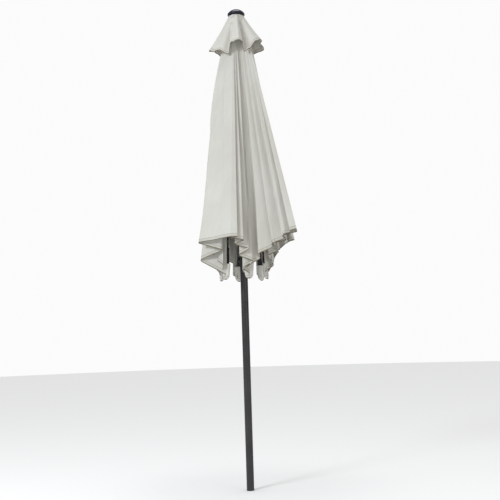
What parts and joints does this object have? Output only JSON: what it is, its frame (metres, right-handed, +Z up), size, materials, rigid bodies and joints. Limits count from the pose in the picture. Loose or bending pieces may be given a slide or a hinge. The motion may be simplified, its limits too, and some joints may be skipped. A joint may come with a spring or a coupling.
{
  "type": "market umbrella",
  "caption": "Closed crank-lift parasol with folding ribs, struts, sliding runner, pleated cloth canopy, vent skirt and a two-piece pole.",
  "frame": {"origin": "centre of the pole's lower end, where it enters its stand", "axes": "+Z up along the pole, -Y along rib 1"},
  "size_m": [0.5176, 0.5819, 2.502],
  "materials": {
    "canopy_cloth": "woven polyester, matt",
    "pole_enamel": "charcoal powder coat, satin",
    "zinc_steel": "zinc plated",
    "bright_button": "nickel plated",
    "black_nylon": "moulded nylon",
    "frame_enamel": "dark powder coat",
    "moulded_plastic": "fine moulded grain",
    "finial_gloss": "polished",
    "braided_cord": "braided polyester"
  },
  "bodies": {
    "pole": {"pole_lower": "pole_enamel", "pole_upper": "pole_enamel", "pole_joint_sleeve": "zinc_steel", "foot_cap": "black_nylon", "button_spring": "zinc_steel", "top_hub": "moulded_plastic", "hub_pins": "zinc_steel", "pulley_pin": "zinc_steel", "finial": "finial_gloss", "finial_stud": "zinc_steel", "vent_skirt": "canopy_cloth", "crank_housing": "moulded_plastic", "housing_screws": "zinc_steel", "lift_cord": "braided_cord"},
    "runner": {"runner": "moulded_plastic", "runner_pins": "zinc_steel"},
    "crank": {"crank_spindle": "moulded_plastic", "crank_arm": "moulded_plastic"},
    "crank_knob": {"crank_knob": "moulded_plastic"},
    "top_pulley": {"top_pulley": "black_nylon"},
    "joint_button": {"joint_button": "bright_button"},
    "rib_1": {"rib_1": "frame_enamel", "rib_cap_1": "black_nylon", "rib_cloth_1": "canopy_cloth"},
    "strut_1": {"strut_1": "frame_enamel"},
    "rib_2": {"rib_2": "frame_enamel", "rib_cap_2": "black_nylon", "rib_cloth_2": "canopy_cloth"},
    "strut_2": {"strut_2": "frame_enamel"},
    "rib_3": {"rib_3": "frame_enamel", "rib_cap_3": "black_nylon", "rib_cloth_3": "canopy_cloth"},
    "strut_3": {"strut_3": "frame_enamel"},
    "rib_4": {"rib_4": "frame_enamel", "rib_cap_4": "black_nylon", "rib_cloth_4": "canopy_cloth"},
    "strut_4": {"strut_4": "frame_enamel"},
    "rib_5": {"rib_5": "frame_enamel", "rib_cap_5": "black_nylon", "rib_cloth_5": "canopy_cloth"},
    "strut_5": {"strut_5": "frame_enamel"},
    "rib_6": {"rib_6": "frame_enamel", "rib_cap_6": "black_nylon", "rib_cloth_6": "canopy_cloth"},
    "strut_6": {"strut_6": "frame_enamel"},
    "panel_1_fold_a": {"panel_1_fold_a": "canopy_cloth"},
    "panel_6_fold_b": {"panel_6_fold_b": "canopy_cloth"},
    "panel_2_fold_a": {"panel_2_fold_a": "canopy_cloth"},
    "panel_1_fold_b": {"panel_1_fold_b": "canopy_cloth"},
    "panel_3_fold_a": {"panel_3_fold_a": "canopy_cloth"},
    "panel_2_fold_b": {"panel_2_fold_b": "canopy_cloth"},
    "panel_4_fold_a": {"panel_4_fold_a": "canopy_cloth"},
    "panel_3_fold_b": {"panel_3_fold_b": "canopy_cloth"},
    "panel_5_fold_a": {"panel_5_fold_a": "canopy_cloth"},
    "panel_4_fold_b": {"panel_4_fold_b": "canopy_cloth"},
    "panel_6_fold_a": {"panel_6_fold_a": "canopy_cloth"},
    "panel_5_fold_b": {"panel_5_fold_b": "canopy_cloth"}
  },
  "joints": [
    {"name": "rib_1_hinge", "type": "hinge", "parent": "pole", "child": "rib_1", "pos_m": [0, -0.036, 2.42], "axis": [-1, 0, 0], "range_deg": [0, 72], "deforming": ["vent_skirt", "lift_cord"]},
    {"name": "strut_1_hinge", "type": "hinge", "parent": "rib_1", "child": "strut_1", "pos_m": [0, -0.06478, 1.87075], "axis": [-1, 0, 0], "range_deg": [-144, 0]},
    {"name": "rib_2_hinge", "type": "hinge", "parent": "pole", "child": "rib_2", "pos_m": [0.03118, -0.018, 2.42], "axis": [-0.5, -0.866, 0], "range_deg": [0, 72]},
    {"name": "strut_2_hinge", "type": "hinge", "parent": "rib_2", "child": "strut_2", "pos_m": [0.05611, -0.03239, 1.87075], "axis": [-0.5, -0.866, 0], "range_deg": [-144, 0]},
    {"name": "rib_3_hinge", "type": "hinge", "parent": "pole", "child": "rib_3", "pos_m": [0.03118, 0.018, 2.42], "axis": [0.5, -0.866, 0], "range_deg": [0, 72]},
    {"name": "strut_3_hinge", "type": "hinge", "parent": "rib_3", "child": "strut_3", "pos_m": [0.05611, 0.03239, 1.87075], "axis": [0.5, -0.866, 0], "range_deg": [-144, 0]},
    {"name": "rib_4_hinge", "type": "hinge", "parent": "pole", "child": "rib_4", "pos_m": [0, 0.036, 2.42], "axis": [1, 0, 0], "range_deg": [0, 72]},
    {"name": "strut_4_hinge", "type": "hinge", "parent": "rib_4", "child": "strut_4", "pos_m": [0, 0.06478, 1.87075], "axis": [1, 0, 0], "range_deg": [-144, 0]},
    {"name": "rib_5_hinge", "type": "hinge", "parent": "pole", "child": "rib_5", "pos_m": [-0.03118, 0.018, 2.42], "axis": [0.5, 0.866, 0], "range_deg": [0, 72]},
    {"name": "strut_5_hinge", "type": "hinge", "parent": "rib_5", "child": "strut_5", "pos_m": [-0.05611, 0.03239, 1.87075], "axis": [0.5, 0.866, 0], "range_deg": [-144, 0]},
    {"name": "rib_6_hinge", "type": "hinge", "parent": "pole", "child": "rib_6", "pos_m": [-0.03118, -0.018, 2.42], "axis": [-0.5, 0.866, 0], "range_deg": [0, 72]},
    {"name": "strut_6_hinge", "type": "hinge", "parent": "rib_6", "child": "strut_6", "pos_m": [-0.05611, -0.03239, 1.87075], "axis": [-0.5, 0.866, 0], "range_deg": [-144, 0]},
    {"name": "runner_pivot", "type": "hinge", "parent": "strut_1", "child": "runner", "pos_m": [0, -0.036, 1.32151], "axis": [-1, 0, 0], "range_deg": [0, 72]},
    {"name": "panel_1_fold_a_hinge", "type": "hinge", "parent": "rib_1", "child": "panel_1_fold_a", "pos_m": [-0.45622, 1.07386, 1.13106], "axis": [0.2682, -0.6423, 0.718], "range_deg": [0, 28.06], "deforming": ["panel_1_fold_a"]},
    {"name": "panel_6_fold_b_hinge", "type": "hinge", "parent": "rib_1", "child": "panel_6_fold_b", "pos_m": [-0.01708, -0.05949, 2.4067], "axis": [0.3852, 0.9225, 0.0255], "range_deg": [0, 26.92], "deforming": ["panel_6_fold_b"]},
    {"name": "panel_2_fold_a_hinge", "type": "hinge", "parent": "rib_2", "child": "panel_2_fold_a", "pos_m": [-0.5605, 0.06492, 2.24613], "axis": [0.9619, -0.1238, 0.2436], "range_deg": [0, 24.88], "deforming": ["panel_2_fold_a"]},
    {"name": "panel_1_fold_b_hinge", "type": "hinge", "parent": "rib_2", "child": "panel_1_fold_b", "pos_m": [-0.70021, 0.92984, 1.05908], "axis": [-0.4081, 0.5351, -0.7396], "range_deg": [0, 31.75], "deforming": ["panel_1_fold_b"]},
    {"name": "panel_3_fold_a_hinge", "type": "hinge", "parent": "rib_3", "child": "panel_3_fold_a", "pos_m": [-0.51138, -0.68227, 2.01245], "axis": [0.5584, 0.7321, 0.3901], "range_deg": [0, 24.1], "deforming": ["panel_3_fold_a"]},
    {"name": "panel_2_fold_b_hinge", "type": "hinge", "parent": "rib_3", "child": "panel_2_fold_b", "pos_m": [-0.60755, -0.07097, 2.22074], "axis": [-0.9562, -0.1231, -0.2655], "range_deg": [0, 26.04], "deforming": ["panel_2_fold_b"]},
    {"name": "panel_4_fold_a_hinge", "type": "hinge", "parent": "rib_4", "child": "panel_4_fold_a", "pos_m": [0.2727, -0.63442, 2.1684], "axis": [-0.3672, 0.8793, 0.3034], "range_deg": [0, 26.86], "deforming": ["panel_4_fold_a"]},
    {"name": "panel_3_fold_b_hinge", "type": "hinge", "parent": "rib_4", "child": "panel_3_fold_b", "pos_m": [-0.37262, -0.87368, 1.90408], "axis": [-0.3448, -0.8257, -0.4464], "range_deg": [0, 27.87], "deforming": ["panel_3_fold_b"]},
    {"name": "panel_5_fold_a_hinge", "type": "hinge", "parent": "rib_5", "child": "panel_5_fold_a", "pos_m": [-0.48895, 0.07015, 2.31387], "axis": [-0.97, 0.1248, -0.2088], "range_deg": [0, 28.32], "deforming": ["panel_5_fold_a"]},
    {"name": "panel_4_fold_b_hinge", "type": "hinge", "parent": "rib_5", "child": "panel_4_fold_b", "pos_m": [0.34881, -0.46912, 2.23206], "axis": [0.5867, -0.7692, -0.2533], "range_deg": [0, 24.14], "deforming": ["panel_4_fold_b"]},
    {"name": "panel_6_fold_a_hinge", "type": "hinge", "parent": "rib_6", "child": "panel_6_fold_a", "pos_m": [-0.09078, -0.1072, 2.39823], "axis": [-0.6054, -0.7938, -0.0584], "range_deg": [0, 25.46], "deforming": ["panel_6_fold_a"]},
    {"name": "panel_5_fold_b_hinge", "type": "hinge", "parent": "rib_6", "child": "panel_5_fold_b", "pos_m": [-0.54605, -0.0775, 2.28462], "axis": [0.9641, 0.1241, 0.2346], "range_deg": [0, 27.09], "deforming": ["panel_5_fold_b"]},
    {"name": "crank_turn", "type": "hinge", "parent": "pole", "child": "crank", "pos_m": [0, 0.04, 1.222], "axis": [0, 1, 0], "continuous": true},
    {"name": "knob_spin", "type": "hinge", "parent": "crank", "child": "crank_knob", "pos_m": [0, 0.07, 1.162], "axis": [0, 1, 0], "continuous": true},
    {"name": "pulley_spin", "type": "hinge", "parent": "pole", "child": "top_pulley", "pos_m": [0.0155, -0.02685, 2.42], "axis": [0.866, 0.5, 0], "continuous": true},
    {"name": "button_press", "type": "slide", "parent": "pole", "child": "joint_button", "axis": [0, 1, 0], "range_m": [0, 0.004], "stiffness_N_per_m": 250, "deforming": ["button_spring"]}
  ],
  "couplings": [
    {"joint": "strut_1_hinge", "follows": "rib_1_hinge", "ratio": -2},
    {"joint": "rib_2_hinge", "follows": "rib_1_hinge", "ratio": 1},
    {"joint": "strut_2_hinge", "follows": "rib_1_hinge", "ratio": -2},
    {"joint": "rib_3_hinge", "follows": "rib_1_hinge", "ratio": 1},
    {"joint": "strut_3_hinge", "follows": "rib_1_hinge", "ratio": -2},
    {"joint": "rib_4_hinge", "follows": "rib_1_hinge", "ratio": 1},
    {"joint": "strut_4_hinge", "follows": "rib_1_hinge", "ratio": -2},
    {"joint": "rib_5_hinge", "follows": "rib_1_hinge", "ratio": 1},
    {"joint": "strut_5_hinge", "follows": "rib_1_hinge", "ratio": -2},
    {"joint": "rib_6_hinge", "follows": "rib_1_hinge", "ratio": 1},
    {"joint": "strut_6_hinge", "follows": "rib_1_hinge", "ratio": -2},
    {"joint": "runner_pivot", "follows": "rib_1_hinge", "ratio": 1},
    {"joint": "panel_1_fold_a_hinge", "follows": "rib_1_hinge", "ratio": 0.38972},
    {"joint": "panel_6_fold_b_hinge", "follows": "rib_1_hinge", "ratio": 0.37394},
    {"joint": "panel_2_fold_a_hinge", "follows": "rib_1_hinge", "ratio": 0.34557},
    {"joint": "panel_1_fold_b_hinge", "follows": "rib_1_hinge", "ratio": 0.44098},
    {"joint": "panel_3_fold_a_hinge", "follows": "rib_1_hinge", "ratio": 0.33466},
    {"joint": "panel_2_fold_b_hinge", "follows": "rib_1_hinge", "ratio": 0.36168},
    {"joint": "panel_4_fold_a_hinge", "follows": "rib_1_hinge", "ratio": 0.37305},
    {"joint": "panel_3_fold_b_hinge", "follows": "rib_1_hinge", "ratio": 0.38702},
    {"joint": "panel_5_fold_a_hinge", "follows": "rib_1_hinge", "ratio": 0.39329},
    {"joint": "panel_4_fold_b_hinge", "follows": "rib_1_hinge", "ratio": 0.33526},
    {"joint": "panel_6_fold_a_hinge", "follows": "rib_1_hinge", "ratio": 0.35354},
    {"joint": "panel_5_fold_b_hinge", "follows": "rib_1_hinge", "ratio": 0.37623}
  ]
}
